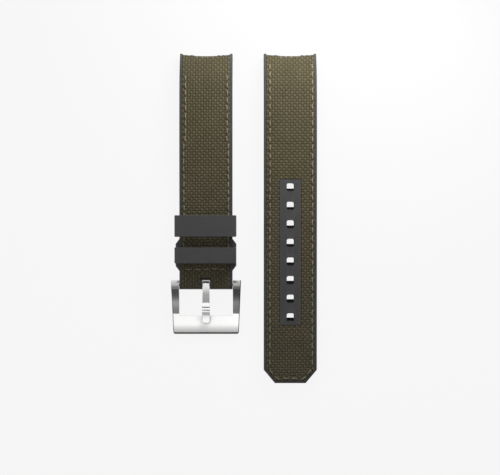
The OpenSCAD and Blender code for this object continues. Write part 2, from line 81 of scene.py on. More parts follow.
# The short strap's buckle end
SHORT_LOW_MM = -42.4
SLOT_HALF_MM = 2.05
SLOT_TOP_MM = -38.8

# Besides its nose, each strap rests on a foot at this (y, z): the long one on the round of
# its tip's lower edge, whose middle this is, and the short one on the free keeper
TIP_FOOT_MM = (EDGE_LOW_R_MM - LONG_LEN_MM, EDGE_LOW_R_MM)
KEEPER_FOOT_MM = (-23.1, -1.5)

# The weave: thread pitch, half widths and half height of the threads, the height of their
# wave and of its middle, and how much higher the warp lies
PITCH_MM = 1.0
WARP_A_MM = 0.43
WEFT_A_MM = 0.57
THREAD_B_MM = 0.2
WAVE_MM = 0.17
WEAVE_MID_MM = 3.24
WARP_LIFT_MM = 0.09
# The weft dips towards the fabric's sides. The fabric is cut short of the watch end, and
# each warp thread's last sample lies the slack inside the cut
SELVEDGE_DROP_MM = 0.22
CUT_GAP_MM = 0.55
CUT_SLACK_MM = 0.001
# Samples along a thread and round it, and in the shortest thread that is made
SAMPLES_PER_PITCH = 4
THREAD_SIDES = 8
SHORTEST_SAMPLES = 3
# Standard deviations of the threads' half widths and half heights, as shares, and places
WIDTH_SPREAD = 0.03
HEIGHT_SPREAD = 0.05
PLACE_SPREAD_MM = 0.008

# The sheet that the threads are bonded to
SHEET_LOW_MM = 2.9
SHEET_TOP_MM = 3.06

# A stitch: length, radius and height, how far its middle arches up and its ends dive
STITCH_LEN_MM = 2.45
STITCH_R_MM = 0.23
STITCH_H_MM = 3.7
STITCH_ARCH_MM = 0.16
STITCH_DIVE_MM = 0.5
DIVE_POWER = 6
# Its rings and their sides, the relief of its two plies, and how many half turns these
# make from the middle to an end
STITCH_RINGS = 14
STITCH_SIDES = 10
PLY_RELIEF = 0.16
PLY_HALF_TURNS = 1.2
# Its ends narrow by a power of the distance from the middle, down to the least share
NARROW_OFFSET = 1.06
NARROW_POWER = 4
NARROW_LEAST = 0.1
# Standard deviations of the stitches' turn in radians, and of their places
TURN_SPREAD = 0.03
STITCH_X_SPREAD_MM = 0.04
STITCH_T_SPREAD_MM = 0.06

# The rows' pitches, and the share of a pitch that rounding may take from a row
LONG_PITCH_MM = 3.1
SHORT_PITCH_MM = 2.88
CROSS_PITCH_MM = 3.15
ROUNDING = 1e-6
# The x of the west and the east row, and the t of the rows' ends. South of the step's t,
# the short strap's rows lie further out by the given x
LONG_SIDES_MM = (-7.7, 8.2)
LONG_ROW_TOP_MM = 42.5
LONG_CORNER_MM = -71.9
SHORT_SIDES_MM = (-7.7, 8.0)
SHORT_STEP_MM = (-0.5, 0.45)
SHORT_ROW_TOP_MM = 38.0
SHORT_STEP_T_MM = 12.2
SHORT_ROW_END_MM = -31.15
# The tip's stitches on each side: x, t and the way they run in degrees
TIP_STITCHES_MM = ((1.55, -76.45, 0.0), (4.9, -76.4, 30.0), (7.1, -74.05, 54.0))
# The row across the short strap: its t and half its length
CROSS_ROW_MM = -35.4
CROSS_HALF_MM = 8.2

# Below, a noise is its scale per metre, detail, stretch and roughness, as far as given; a
# bump is its strength and its depth in metres; and a range is what a ramp takes in

# Rubber: fresh and worn colour, and roughness
STRAP_RUBBER = ((0.0193, 0.0192, 0.0193), (0.028, 0.028, 0.028), 0.55)
KEEPER_RUBBER = ((0.023, 0.023, 0.023), (0.029, 0.029, 0.029), 0.6)
# Its bloom: how far it goes to the worn colour, and what it does to the roughness
BLOOM_NOISE = (260, 4.0)
BLOOM_RANGE = (0.38, 0.7)
BLOOM_SHARE = 0.55
BLOOM_ROUGH = (-0.05, 0.06)
# Its rubbed edges: how far they go to the worn colour times the gain, and how smooth
EDGE_RANGE = (0.52, 0.62)
EDGE_SHARE = 0.4
EDGE_GAIN = 1.5
EDGE_SMOOTH = 0.1
# Its fine grain and its faint waves
GRAIN_NOISE = (9000, 2.0)
GRAIN_BUMP = (0.35, 0.00006)
WAVES_NOISE = (1400, 3.0)
WAVES_BUMP = (0.12, 0.0001)
# The long strap's row of holes: more than half their width, and the row's two ends. Their
# cut walls are what doesn't face up; these are painted near black as the shade inside the
# holes
HOLE_HALF_MM = 2.2
HOLES_MM = (-55.0, -3.0)
HOLE_WALL_SHADE_COLOUR = (0.003, 0.003, 0.002)
HOLE_WALL_SHADE_RANGE = (0.5, 0.8)

# Yarn: light and dark colour, the axis across the thread, and roughness
WARP_YARN = ((0.06, 0.05, 0.0249), (0.0291, 0.024, 0.0114), "x", 0.72)
WEFT_YARN = ((0.0367, 0.0303, 0.0149), (0.0199, 0.0166, 0.0079), "y", 0.72)
SEWING_YARN = ((0.112, 0.099, 0.061), (0.078, 0.068, 0.041), "x", 0.6)
BOND_YARN = ((0.02, 0.017, 0.009), (0.01, 0.009, 0.005), "y", 0.85)
# Its fibres, stretched along the thread, and their part in tone and roughness
FIBRE_SCALE = 2600
FIBRE_DETAIL = 4.0
FIBRE_STRETCH = 6.0
FIBRE_NOISE_ROUGH = 0.65
FIBRE_TONE = (0.12, 0.6)
FIBRE_SMOOTHER = 0.08
FIBRE_ROUGHER = 0.1
FIBRE_BUMP = (0.3, 0.00008)
# The part of each thread's own tone and of broad clouds, and the range from dark to light
OWN_TONE = 0.1
CLOUD_NOISE = (150, 2.0)
CLOUD_RANGE = (0.3, 0.7)
CLOUD_TONE = 0.16
TONE_RANGE = (0.2, 0.85)

# Steel: brushed hair lines and smears, and the two colours and roughnesses of the polish
HAIR_NOISE = (900, 5.0, (1.0, 40.0, 40.0), 0.7)
HAIR_BUMP = (0.05, 0.00003)
SMEAR_NOISE = (120, 3.0)
SMEAR_RANGE = (0.3, 0.7)
POLISH_COLOURS = ((0.78, 0.78, 0.77), (0.72, 0.72, 0.71))
POLISH_ROUGH = (0.1, 0.16)
# Its satin, on what faces up: colours, added roughness, metallic share, relief, and the
# share of the hair lines outside and inside it
SATIN_RANGE = (0.8, 0.9)
SATIN_COLOURS = ((0.98, 0.98, 0.975), (0.95, 0.95, 0.945))
SATIN_ROUGH = (0.34, 0.42)
SATIN_METAL = 0.5
SATIN_BUMP = (0.18, 0.00003)
SATIN_HAIR = (0.1, 1.0)
# Painted shade: the colour that the painted shade bands and the painted dark rims go towards
PAINTED_SHADE_COLOUR = (0.0, 0.0, 0.0)

# Distances southwards from the bar. The satin of the plate, and of the tongue's curl and
# level stretch; the curl's satin fades out over a stretch of its own
PLATE_SATIN_MM = (10.8, 18.05)
CURL_SATIN_MM = (-3.0, 3.8)
LEVEL_SATIN_MM = (6.6, 16.0)
SATIN_EDGE_MM = 0.2
CURL_FADE_MM = 3.5
# Painted shade, as middle, half width, fade and share: on the arms' round ends and on the
# plate's crown, and on the tongue's curl, in its two grooves and on its slope. These bands
# stand in for shade and dark reflections on the polished steel
FRAME_PAINTED_SHADE_MM = ((1.15, 0.4, 0.4, 0.35), (18.2, 0.4, 2.6, 0.38))
TONGUE_PAINTED_SHADE_MM = (
    (-1.5, 0.5, 0.3, 0.97), (8.4, 0.2, 0.1, 0.6), (9.5, 0.2, 0.1, 0.45), (10.85, 0.4, 0.5, 0.45))
# The arms' round ends are duller, from the second distance northwards in full
DULL_ENDS_MM = (1.6, 0.2)
DULL_ROUGH = 0.26
# The frame's sides: half its width at the bar, how much narrower it gets per distance, and
# the width of their painted dark rims, which are painted shade along the edges. Each rim is
# from, to and share; the west one starts further south
SIDE_HALF_MM = 13.15
SIDE_TAPER = 0.8 / 18.7
SIDE_PAINTED_RIM_MM = 0.34
WEST_PAINTED_RIM_MM = (4.0, 9.0, 0.9)
EAST_PAINTED_RIM_MM = (-3.0, -2.5, 0.9)
# The tongue's pad: where it starts and ends, half its width, its corners and its painted
# dark rim, which is painted shade round its edge
PAD_FROM_MM = 11.3
PAD_TO_MM = 14.4
PAD_HALF_MM = 1.5
PAD_CORNER_MM = 0.8
PAD_PAINTED_RIM_MM = 0.22
PAD_PAINTED_RIM_SHARE = 0.5

# The bevels of the solids, on edges from this angle. Before, points nearer than the weld
# are merged, and faces that turn less than the flat angle are joined
KEEPER_BEVEL_MM = 0.2
FRAME_BEVEL_MM = 0.3
TONGUE_BEVEL_MM = 0.16
BAR_BEVEL_MM = 0.03
BEVEL_SEGMENTS = 3
BEVEL_FROM = math.radians(32)
FLAT_BELOW = math.radians(0.3)
WELD_MM = 0.002
# Points nearer than this to the plane that halves the spring, in metres, count as on it
ON_PLANE = 1e-7

# The floor: its glow and paint, half its size in metres, and how far its shadows show
FLOOR_WHITE = 0.92
FLOOR_PAINT = 0.8
FLOOR_HALF = 3.0
FLOOR_SHADOW = 0.03

# The key lamp: place, aim and size in metres, and power in watts
KEY_PLACE = (0.042, 0.104, 0.065)
KEY_AIM = (0.006, 0.043, 0.0)
KEY_SIZE = (0.12, 0.03)
KEY_POWER = 0.4

# The room's brightness by a direction's northward or eastward part, each from -1 to 1. A
# narrow strip overhead runs north and south, dimmer than the rest, and polished steel
# mirrors it: its levels go by the northward part and its share by the eastward part.
# Towards the south it fades by the eastward part. The rest is its side level times its
# depth level: pale to the west and the north, and dim to the east and the south
STRIP_LEVELS = (
    (-1.0, 0.2), (-0.92, 0.1), (-0.85, 0.08), (-0.6, 0.08), (-0.53, 0.09), (-0.46, 0.2),
    (-0.38, 0.5), (-0.32, 0.45), (-0.2, 0.26), (-0.04, 0.28), (0.01, 0.55), (0.06, 0.5),
    (0.12, 0.33), (0.34, 0.36), (0.76, 0.46), (1.0, 0.8))
STRIP_FADE = ((-0.1, 1.0), (-0.03, 0.6), (0.0, 0.5), (0.14, 0.4))
FADE_SHARE = ((-0.3, 1.0), (0.0, 0.0))
STRIP_SHARE = ((-0.3, 0.0), (-0.14, 1.0), (0.14, 1.0), (0.3, 0.0))
SIDE_LEVELS = (
    (-1.0, 0.7), (-0.85, 1.05), (-0.7, 1.6), (0.0, 1.6), (0.2, 1.1), (0.4, 0.9), (1.0, 0.4))
DEPTH_LEVELS = (
    (-1.0, 0.5), (-0.6, 0.62), (-0.3, 0.76), (0.0, 1.0), (0.3, 1.22), (0.6, 1.28), (1.0, 1.15))

# The camera: square over the straps, leaning a little towards the buckle's side. Its lens
# and sensor are in millimetres, and what is nearer than the clip, in metres, isn't drawn
CAMERA_LEAN = math.radians(1.242)
CAMERA_AIM_MM = (2.283, -7.437, 4.0)
CAMERA_FAR_MM = 350.0
CAMERA_LENS = 66.8
SENSOR_W = 36.0
CAMERA_CLIP = 0.01


def along(a):
    """Unit vector along the strap where it slopes down by a, as (y, z)."""
    return np.array([math.cos(a), -math.sin(a)])


def up(a):
    """Unit vector square to the strap where it slopes down by a, as (y, z)."""
    return np.array([math.sin(a), math.cos(a)])


def hollow(x):
    """How far back from its corners the watch end lies at x, in mm."""
    r = (STRAP_W_MM ** 2 / 4 + END_HOLLOW_MM ** 2) / (2 * END_HOLLOW_MM)
    return np.sqrt(r * r - np.square(x)) - (r - END_HOLLOW_MM)


class Strap:
    """A strap's own coordinates in mm: x across it, t along its fabric's upper face and h
    above its underside. t is below 0 on the flat stretch, and the watch end is at t_end."""

    def __init__(self, body, mount, foot, foot_r):
        self.body = body
        self.base = body + "_base"
        self.fabric = body + "_fabric"
        self.is_long = body == "long_strap"
        self.low = -LONG_LEN_MM if self.is_long else SHORT_LOW_MM
        self.sweep_r = SWEEP_LEN_MM / SWEEP_TURN
        self.bend_c = np.array([0.0, -self.sweep_r]) + (self.sweep_r - BEND_R_MM) * up(SWEEP_TURN)
        end = self.bend_c + BEND_R_MM * up(END_SLOPE)
        bore = end - BORE_IN_MM * along(END_SLOPE) + BORE_UP_MM * up(END_SLOPE)
        way = bore - np.array(foot)
        self.tilt = math.asin((NOSE_R_MM - foot_r) / math.hypot(*way)) - math.atan2(way[1], way[0])
        at = next(m["pos_m"] for m in frame["record"]["mounts"] if m["name"] == mount)
        self.x0 = at[0] / MM
        self.shift = np.array(at[1:]) / MM - self.turned(*bore)
        self.sweep_t = (self.sweep_r + FABRIC_TOP_MM) * SWEEP_TURN
        self.t_end = self.sweep_t + (BEND_R_MM + FABRIC_TOP_MM) * (END_SLOPE - SWEEP_TURN)

    def turned(self, y, z):
        """The point y, z turned by the tilt with which the strap lies on the table."""
        c, s = math.cos(self.tilt), math.sin(self.tilt)
        return np.array([y * c - z * s, y * s + z * c])

    def world(self, x, t, h):
        """World points in metres for arrays of x, t and h."""
        x, t, h = np.broadcast_arrays(*(np.asarray(v, float) for v in (x, t, h)))
        a_sweep = np.clip(t / (self.sweep_r + FABRIC_TOP_MM), 0, SWEEP_TURN)
        y = np.where(t < 0, t, (self.sweep_r + h) * np.sin(a_sweep))
        z = np.where(t < 0, h, (self.sweep_r + h) * np.cos(a_sweep) - self.sweep_r)
        a_bend = SWEEP_TURN + (t - self.sweep_t) / (BEND_R_MM + FABRIC_TOP_MM)
        bent = t > self.sweep_t
        y = np.where(bent, self.bend_c[0] + (BEND_R_MM + h) * np.sin(a_bend), y)
        z = np.where(bent, self.bend_c[1] + (BEND_R_MM + h) * np.cos(a_bend), z)
        wy, wz = self.turned(y, z)
        return np.stack([x + self.x0, wy + self.shift[0], wz + self.shift[1]], -1) * MM

    def inside(self, x, t):
        """Whether fabric covers the place x, t."""
        ok = (np.abs(x) < FABRIC_W_MM / 2) & (t < self.t_end - hollow(x) - CUT_GAP_MM)
        if self.is_long:
            tip = math.atan2(TIP_LEN_MM, TIP_IN_MM)
            reach = STRAP_W_MM / 2 * math.sin(tip) + (LONG_LEN_MM - TIP_LEN_MM) * math.cos(tip)
            slant = np.abs(x) * math.sin(tip) - t * math.cos(tip)
            ok &= (slant < reach - RIM_W_MM) & (t > RIM_W_MM - LONG_LEN_MM)
            on_island = (np.abs(x) < ISLAND_HALF_MM) & (t > ISLAND_LOW_MM) & (t < ISLAND_HIGH_MM)
            return ok & ~on_island
        in_slot = (np.abs(x) < SLOT_HALF_MM) & (t < SLOT_TOP_MM)
        return ok & (t > SHORT_LOW_MM) & ~in_slot


LONG = Strap("long_strap", "lug_bore_long", TIP_FOOT_MM, EDGE_LOW_R_MM)
SHORT = Strap("short_strap", "lug_bore_short", KEEPER_FOOT_MM, 0.0)


def add_object(name, data):
    """A new object in the scene, with the given data."""
    obj = bpy.data.objects.new(name, data)
    bpy.context.scene.collection.objects.link(obj)
    return obj


def add_mesh(name, verts, faces, material):
    """A new object in the scene with a smooth mesh."""
    mesh = bpy.data.meshes.new(name)
    mesh.from_pydata([tuple(v) for v in verts], [], faces)
    mesh.polygons.foreach_set("use_smooth", [True] * len(mesh.polygons))
    mesh.update()
    mesh.materials.append(material)
    return add_object(name, mesh)


def tubes(name, rings_list, material):
    """One mesh of closed tubes, each given as an array of rings of world points."""
    verts, faces, start = [], [], 0
    for rings in rings_list:
        n, sides = rings.shape[:2]
        verts.append(rings.reshape(-1, 3))
        for i in range(n - 1):
            a = start + i * sides
            for j in range(sides):
                k = (j + 1) % sides
                faces.append((a + j, a + k, a + sides + k, a + sides + j))
        faces.append(tuple(range(start + sides - 1, start - 1, -1)))
        faces.append(tuple(range(start + (n - 1) * sides, start + n * sides)))
        start += n * sides
    return add_mesh(name, np.concatenate(verts), faces, material)


def runs(mask):
    """Start and end index of each stretch of True in mask."""
    edges = np.flatnonzero(np.diff(np.concatenate([[0], mask.astype(int), [0]])))
    return zip(edges[::2], edges[1::2])


def threads(strap, name, is_warp, material):
    """All warp or all weft threads of a strap's plain weave."""
    half_w = FABRIC_W_MM / 2
    picks = np.arange(math.floor(strap.low), math.ceil(strap.t_end) + 1) * PITCH_MM
    ends = (np.arange(FABRIC_W_MM / PITCH_MM) + 0.5) * PITCH_MM - half_w
    step = PITCH_MM / SAMPLES_PER_PITCH
    start, stop = (strap.low, strap.t_end) if is_warp else (step / 2 - half_w, half_w)
    angles = np.arange(THREAD_SIDES) * 2 * math.pi / THREAD_SIDES
    made = []
    for i, place in enumerate(ends if is_warp else picks):
        s = np.arange(start, stop, step)
        a = (WARP_A_MM if is_warp else WEFT_A_MM) * (1 + rng.normal(0, WIDTH_SPREAD))
        b = THREAD_B_MM * (1 + rng.normal(0, HEIGHT_SPREAD))
        place = place + rng.normal(0, PLACE_SPREAD_MM)
        if is_warp:
            cut = strap.t_end - hollow(place) - CUT_GAP_MM
            s = np.append(s[s < cut - step / 2], cut - CUT_SLACK_MM)
            mask = strap.inside(np.full_like(s, place), s)
            wave = np.cos(math.pi * (s / PITCH_MM + i))
            mid = WEAVE_MID_MM + WARP_LIFT_MM + WAVE_MM * wave
        else:
            mask = strap.inside(s, np.full_like(s, place))
            j = round(place / PITCH_MM)
            wave = np.cos(math.pi * ((s + half_w) / PITCH_MM - 0.5 + j))
            edge = np.clip((np.abs(s) - (half_w - PITCH_MM)) / PITCH_MM, 0, 1)
            mid = WEAVE_MID_MM - WAVE_MM * wave - SELVEDGE_DROP_MM * edge ** 2
        for first, last in runs(mask):
            if last - first < SHORTEST_SAMPLES:
                continue
            c, z = s[first:last, None], mid[first:last, None]
            side = place + a * np.cos(angles)
            high = z + b * np.sin(angles)
            made.append(strap.world(side, c, high) if is_warp else strap.world(c, side, high))
    return tubes(name, made, material)


def sheet(strap, name, material):
    """The closed thin sheet under the threads, with the fabric's outline; its flat width
    and length; and its area."""
    step = PITCH_MM / 2
    half_w = FABRIC_W_MM / 2
    xs = np.arange(-half_w, half_w + step / 2, step)
    ts = np.arange(math.floor(strap.low), strap.t_end + step, step)
    mx, mt = np.meshgrid((xs[:-1] + xs[1:]) / 2, (ts[:-1] + ts[1:]) / 2)
    cells = strap.inside(mx, mt)
    gx, gt = np.meshgrid(xs, ts)
    gt = np.minimum(gt, strap.t_end - hollow(gx) - CUT_GAP_MM / 2)
    count = gx.size
    top = strap.world(gx, gt, SHEET_TOP_MM).reshape(-1, 3)
    under = strap.world(gx, gt, SHEET_LOW_MM).reshape(-1, 3)
    faces, walls = [], {}
    width = len(xs)
    for r, c in zip(*np.nonzero(cells)):
        a = r * width + c
        quad = (a, a + 1, a + width + 1, a + width)
        faces.append(quad)
        faces.append(tuple(count + k for k in reversed(quad)))
        for p, q in zip(quad, quad[1:] + quad[:1]):
            if (q, p) in walls:
                del walls[(q, p)]
            else:
                walls[(p, q)] = (q, p, count + p, count + q)
    faces += list(walls.values())
    used = sorted({k for f in faces for k in f})
    index = {k: n for n, k in enumerate(used)}
    points = np.concatenate([top, under])[used]
    area = cells.sum() * step * step * MM * MM
    obj = add_mesh(name, points, [tuple(index[k] for k in f) for f in faces], material)
    length = (ts[cells.any(axis=1).nonzero()[0]].max() - strap.low) * MM
    return obj, (FABRIC_W_MM * MM, length), area


def stitch(strap, x, t, dx, dt):
    """Rings of one stitch centred at x, t that runs along (dx, dt)."""
    s = np.linspace(-1, 1, STITCH_RINGS)
    angles = np.arange(STITCH_SIDES) * 2 * math.pi / STITCH_SIDES
    h = STITCH_H_MM + STITCH_ARCH_MM * (1 - s ** 2) - STITCH_DIVE_MM * np.abs(s) ** DIVE_POWER
    twist = angles[None, :] - s[:, None] * math.pi * PLY_HALF_TURNS
    narrow = np.sqrt(np.clip(NARROW_OFFSET - s ** NARROW_POWER, NARROW_LEAST, 1))
    r = STITCH_R_MM * (1 + PLY_RELIEF * np.cos(2 * twist)) * narrow[:, None]
    half = STITCH_LEN_MM / 2 * s[:, None]
    side = r * np.cos(angles)
    high = h[:, None] + r * np.sin(angles)
    return strap.world(x + dx * half - dt * side, t + dt * half + dx * side, high)


def stitch_row(strap, start, end, pitch):
    """Stitches from start to end, both (x, t), pitch apart and centred on the row."""
    start, end = np.array(start, float), np.array(end, float)
    length = np.hypot(*(end - start))
    way = (end - start) / length
    count = max(1, int((length - STITCH_LEN_MM) / pitch + ROUNDING) + 1)
    first = (length - (count - 1) * pitch) / 2
    made = []
    for k in range(count):
        x, t = start + way * (first + k * pitch)
        turn = rng.normal(0, TURN_SPREAD)
        dx, dt = way[0] - way[1] * turn, way[1] + way[0] * turn
        x, t = x + rng.normal(0, STITCH_X_SPREAD_MM), t + rng.normal(0, STITCH_T_SPREAD_MM)
        made.append(stitch(strap, x, t, dx, dt))
    return made


def long_stitches(material):
    """The long strap's two side rows, each followed by its side of the tip."""
    rows = []
    for side, x in zip((-1, 1), LONG_SIDES_MM):
        rows += stitch_row(LONG, (x, LONG_ROW_TOP_MM), (x, LONG_CORNER_MM), LONG_PITCH_MM)
        for tip_x, t, turn in TIP_STITCHES_MM:
            a = math.radians(turn)
            rows.append(stitch(LONG, side * tip_x, t, side * math.cos(a), math.sin(a)))
    return tubes("long_stitches", rows, material)


def short_stitches(material):
    """The short strap's two side rows with their steps, and the row across it."""
    rows = []
    for x, step in zip(SHORT_SIDES_MM, SHORT_STEP_MM):
        rows += stitch_row(SHORT, (x, SHORT_ROW_TOP_MM), (x, SHORT_STEP_T_MM), SHORT_PITCH_MM)
        x += step
        rows += stitch_row(SHORT, (x, SHORT_STEP_T_MM), (x, SHORT_ROW_END_MM), SHORT_PITCH_MM)
    west, east = (-CROSS_HALF_MM, CROSS_ROW_MM), (CROSS_HALF_MM, CROSS_ROW_MM)
    rows += stitch_row(SHORT, west, east, CROSS_PITCH_MM)
    return tubes("short_stitches", rows, material)


class Material:
    """A Principled material with short names for the nodes that these surfaces need."""

    def __init__(self, name, **values):
        self.mat = bpy.data.materials.new(name)
        self.mat.use_nodes = True
        self.tree = self.mat.node_tree
        self.bsdf = self.tree.nodes["Principled BSDF"]
        for key, value in values.items():
            self.bsdf.inputs[key.replace("_", " ")].default_value = value
        self.place = self.node("ShaderNodeTexCoord").outputs["Object"]

    def node(self, kind, **settings):
        """A new node with the given settings."""
        n = self.tree.nodes.new(kind)
        for key, value in settings.items():
            setattr(n, key, value)
        return n

    def link(self, a, b):
        """Links the output a to the input b."""
        self.tree.links.new(a, b)

    def noise(self, scale, detail, stretch=(1, 1, 1), rough=0.5):
        """Noise of the given scale per metre, its coordinates multiplied by stretch."""
        m = self.node("ShaderNodeMapping")
        m.inputs["Scale"].default_value = stretch
        n = self.node("ShaderNodeTexNoise")
        n.inputs["Scale"].default_value = scale
        n.inputs["Detail"].default_value = detail
        n.inputs["Roughness"].default_value = rough
        self.link(self.place, m.inputs["Vector"])
        self.link(m.outputs["Vector"], n.inputs["Vector"])
        return n.outputs["Fac"]

    def math(self, operation, a, b=None, clamp=False):
        """The operation on a and b, each an output or a number."""
        n = self.node("ShaderNodeMath", operation=operation, use_clamp=clamp)
        for socket, value in zip(n.inputs, (a, b)):
            if value is None:
                continue
            if isinstance(value, (int, float)):
                socket.default_value = value
            else:
                self.link(value, socket)
        return n.outputs[0]

    def ramp(self, value, low, high, from_min=0.0, from_max=1.0):
        """A value that goes from low to high while the given one crosses its range."""
        n = self.node("ShaderNodeMapRange")
        ends = {"From Min": from_min, "From Max": from_max, "To Min": low, "To Max": high}
        for key, end in ends.items():
            n.inputs[key].default_value = end
        self.link(value, n.inputs["Value"])
        return n.outputs["Result"]

    def part(self, axis):
        """The place's x, y or z in the frame's own coordinates."""
        n = self.node("ShaderNodeSeparateXYZ")
        self.link(self.place, n.inputs[0])
        return n.outputs[axis]

    def away(self, value, middle):
        """The distance of the value from the middle."""
        return self.math("ABSOLUTE", self.math("SUBTRACT", value, middle))

    def facing(self):
        """How far the surface faces up, from -1 to 1."""
        n = self.node("ShaderNodeSeparateXYZ")
        self.link(self.node("ShaderNodeTexCoord").outputs["Normal"], n.inputs[0])
        return n.outputs["Z"]

    def mix(self, factor, a, b):
        """Colour that goes from a to b by the factor, each an output or a constant."""
        n = self.node("ShaderNodeMix", data_type="RGBA")
        for socket, value in zip((n.inputs[0], n.inputs[6], n.inputs[7]), (factor, a, b)):
            if isinstance(value, (int, float)):
                socket.default_value = value
            elif isinstance(value, tuple):
                socket.default_value = value + (1.0,)
            else:
                self.link(value, socket)
        return n.outputs[2]

    def bump(self, height, strength, distance, after=None):
        """The normal of a relief, on top of the normal given as after."""
        n = self.node("ShaderNodeBump")
        n.inputs["Strength"].default_value = strength
        n.inputs["Distance"].default_value = distance
        self.link(height, n.inputs["Height"])
        if after is not None:
            self.link(after, n.inputs["Normal"])
        return n.outputs["Normal"]

    def finish(self, colour, rough, normal):
        """Links the shader's inputs and returns the material."""
        for value, key in ((colour, "Base Color"), (rough, "Roughness"), (normal, "Normal")):
            self.link(value, self.bsdf.inputs[key])
        return self.mat


def rubber(name, colour, worn, rough, holes=None):
    """Moulded rubber: a fine eroded grain, a little bloom, and edges rubbed smoother. The
    walls of the holes, whose row is given by its x and its two ends' y, are dull and painted
    near black as shade."""
    m = Material(name, Specular_IOR_Level=0.3, IOR=1.5)
    bloom = m.ramp(m.noise(*BLOOM_NOISE), 0.0, 1.0, *BLOOM_RANGE)
    grain = m.noise(*GRAIN_NOISE)
    edge = m.ramp(m.node("ShaderNodeNewGeometry").outputs["Pointiness"], 0.0, 1.0, *EDGE_RANGE)
    tone = m.mix(m.math("MULTIPLY", bloom, BLOOM_SHARE, True), colour, worn)
    rubbed = tuple(EDGE_GAIN * c for c in worn)
    tone = m.mix(m.math("MULTIPLY", edge, EDGE_SHARE, True), tone, rubbed)
    roughness = m.math("ADD", m.ramp(bloom, *BLOOM_ROUGH), rough)
    roughness = m.math("SUBTRACT", roughness, m.math("MULTIPLY", edge, EDGE_SMOOTH))
    if holes is not None:
        x, low, high = holes
        near_x = m.math("LESS_THAN", m.away(m.part("X"), x), HOLE_HALF_MM * MM)
        near_y = m.math("LESS_THAN", m.away(m.part("Y"), (low + high) / 2), (high - low) / 2)
        near = m.math("MULTIPLY", near_x, near_y)
        # Painted shade: what doesn't face up near the holes goes near black, standing in for the
        # shade inside them
        painted_wall_shade = m.math("MULTIPLY", near, m.ramp(m.facing(), 1.0, 0.0, *HOLE_WALL_SHADE_RANGE))
        tone = m.mix(painted_wall_shade, tone, HOLE_WALL_SHADE_COLOUR)
        roughness = m.math("MAXIMUM", roughness, painted_wall_shade)
    normal = m.bump(grain, *GRAIN_BUMP)
    normal = m.bump(m.noise(*WAVES_NOISE), *WAVES_BUMP, normal)
    return m.finish(tone, roughness, normal)


def yarn(name, light, dark, across, rough):
    """Spun yarn: fine fibres along the thread, and each thread a little different."""
    m = Material(name, Specular_IOR_Level=0.3, Sheen_Weight=0.1, Sheen_Roughness=0.45)
    stretch = (FIBRE_STRETCH, 1.0, 1.0) if across == "x" else (1.0, FIBRE_STRETCH, 1.0)
    fibres = m.noise(FIBRE_SCALE, FIBRE_DETAIL, stretch, FIBRE_NOISE_ROUGH)
    own = m.node("ShaderNodeNewGeometry").outputs["Random Per Island"]
    cloud = m.noise(*CLOUD_NOISE)
    tone = m.math("ADD", m.ramp(fibres, *FIBRE_TONE), m.math("MULTIPLY", own, OWN_TONE))
    tone = m.math("ADD", tone, m.ramp(cloud, 0.0, CLOUD_TONE, *CLOUD_RANGE))
    colour = m.mix(m.ramp(tone, 0.0, 1.0, *TONE_RANGE), dark, light)
    roughness = m.ramp(fibres, rough - FIBRE_SMOOTHER, rough + FIBRE_ROUGHER)
    return m.finish(colour, roughness, m.bump(fibres, *FIBRE_BUMP))


def steel(name, zones=(), painted_shade=(), painted_rims=None, dull=None):
    """Stainless steel, polished, with a white satin finish on what faces up in the zones.
    Each zone is its northern end's y and fade and its southern end's, in metres in the
    frame's own coordinates. The bands after the zones are painted shade: middle, half width,
    fade and share. The function after them makes painted dark rims as shade, and dull is
    the two y's between which the polish goes dull northwards."""
    m = Material(name)
    hair = m.noise(*HAIR_NOISE)
    smear = m.noise(*SMEAR_NOISE)
    colour = m.mix(smear, *POLISH_COLOURS)
    rough = m.ramp(smear, *POLISH_ROUGH, *SMEAR_RANGE)
    if not zones:
        m.bsdf.inputs["Metallic"].default_value = 1.0
        return m.finish(colour, rough, m.bump(hair, *HAIR_BUMP))
    y = m.part("Y")
    satin = 0.0
    for north, north_fade, south, south_fade in zones:
        below = m.ramp(y, 1.0, 0.0, north - north_fade, north)
        above = m.ramp(y, 0.0, 1.0, south, south + south_fade)
        satin = m.math("MAXIMUM", m.math("MULTIPLY", below, above), satin)
    satin = m.math("MULTIPLY", satin, m.ramp(m.facing(), 0.0, 1.0, *SATIN_RANGE))
    colour = m.mix(satin, colour, m.mix(hair, *SATIN_COLOURS))
    # Painted shade: bands darkened towards black where shade and dark reflections fall on the steel
    for middle, half, fade, share in painted_shade:
        shade_band = m.ramp(m.away(y, middle), share, 0.0, half, half + fade)
        colour = m.mix(shade_band, colour, PAINTED_SHADE_COLOUR)
    if painted_rims is not None:
        colour = m.mix(painted_rims(m), colour, PAINTED_SHADE_COLOUR)
    rough = m.math("ADD", rough, m.math("MULTIPLY", satin, m.ramp(hair, *SATIN_ROUGH)))
    if dull is not None:
        rough = m.math("MAXIMUM", rough, m.ramp(y, 0.0, DULL_ROUGH, *dull))
    m.link(m.ramp(satin, 1.0, SATIN_METAL), m.bsdf.inputs["Metallic"])
    relief = m.math("MULTIPLY", hair, m.ramp(satin, *SATIN_HAIR))
    return m.finish(colour, rough, m.bump(relief, *SATIN_BUMP))


nodes = frame["nodes"]
joints = frame["record"]["behaviour"]["joints"]
BAR_Y = next(j["pos_m"][1] for j in joints if j["name"] == "buckle_hinge")


def from_bar(distance):
    """The y of a distance in mm southwards from the bar."""
    return BAR_Y - distance * MM


def satin_zone(north, south, south_fade=SATIN_EDGE_MM):
    """A zone of satin between two distances from the bar, for steel()."""
    return from_bar(north), SATIN_EDGE_MM * MM, from_bar(south), south_fade * MM


def painted_shade_bands(places):
    """Bands of painted shade for steel(), from their distances and widths in mm."""
    return [(from_bar(middle), half * MM, fade * MM, share) for middle, half, fade, share in places]


def painted_rim_share(m, out, edge_mm, width_mm, share=1.0):
    """The share of painted shade at the distance out: in full from the middle of the rim outwards.
    """
    return m.ramp(out, 0.0, share, (edge_mm - width_mm) * MM, (edge_mm - width_mm / 2) * MM)


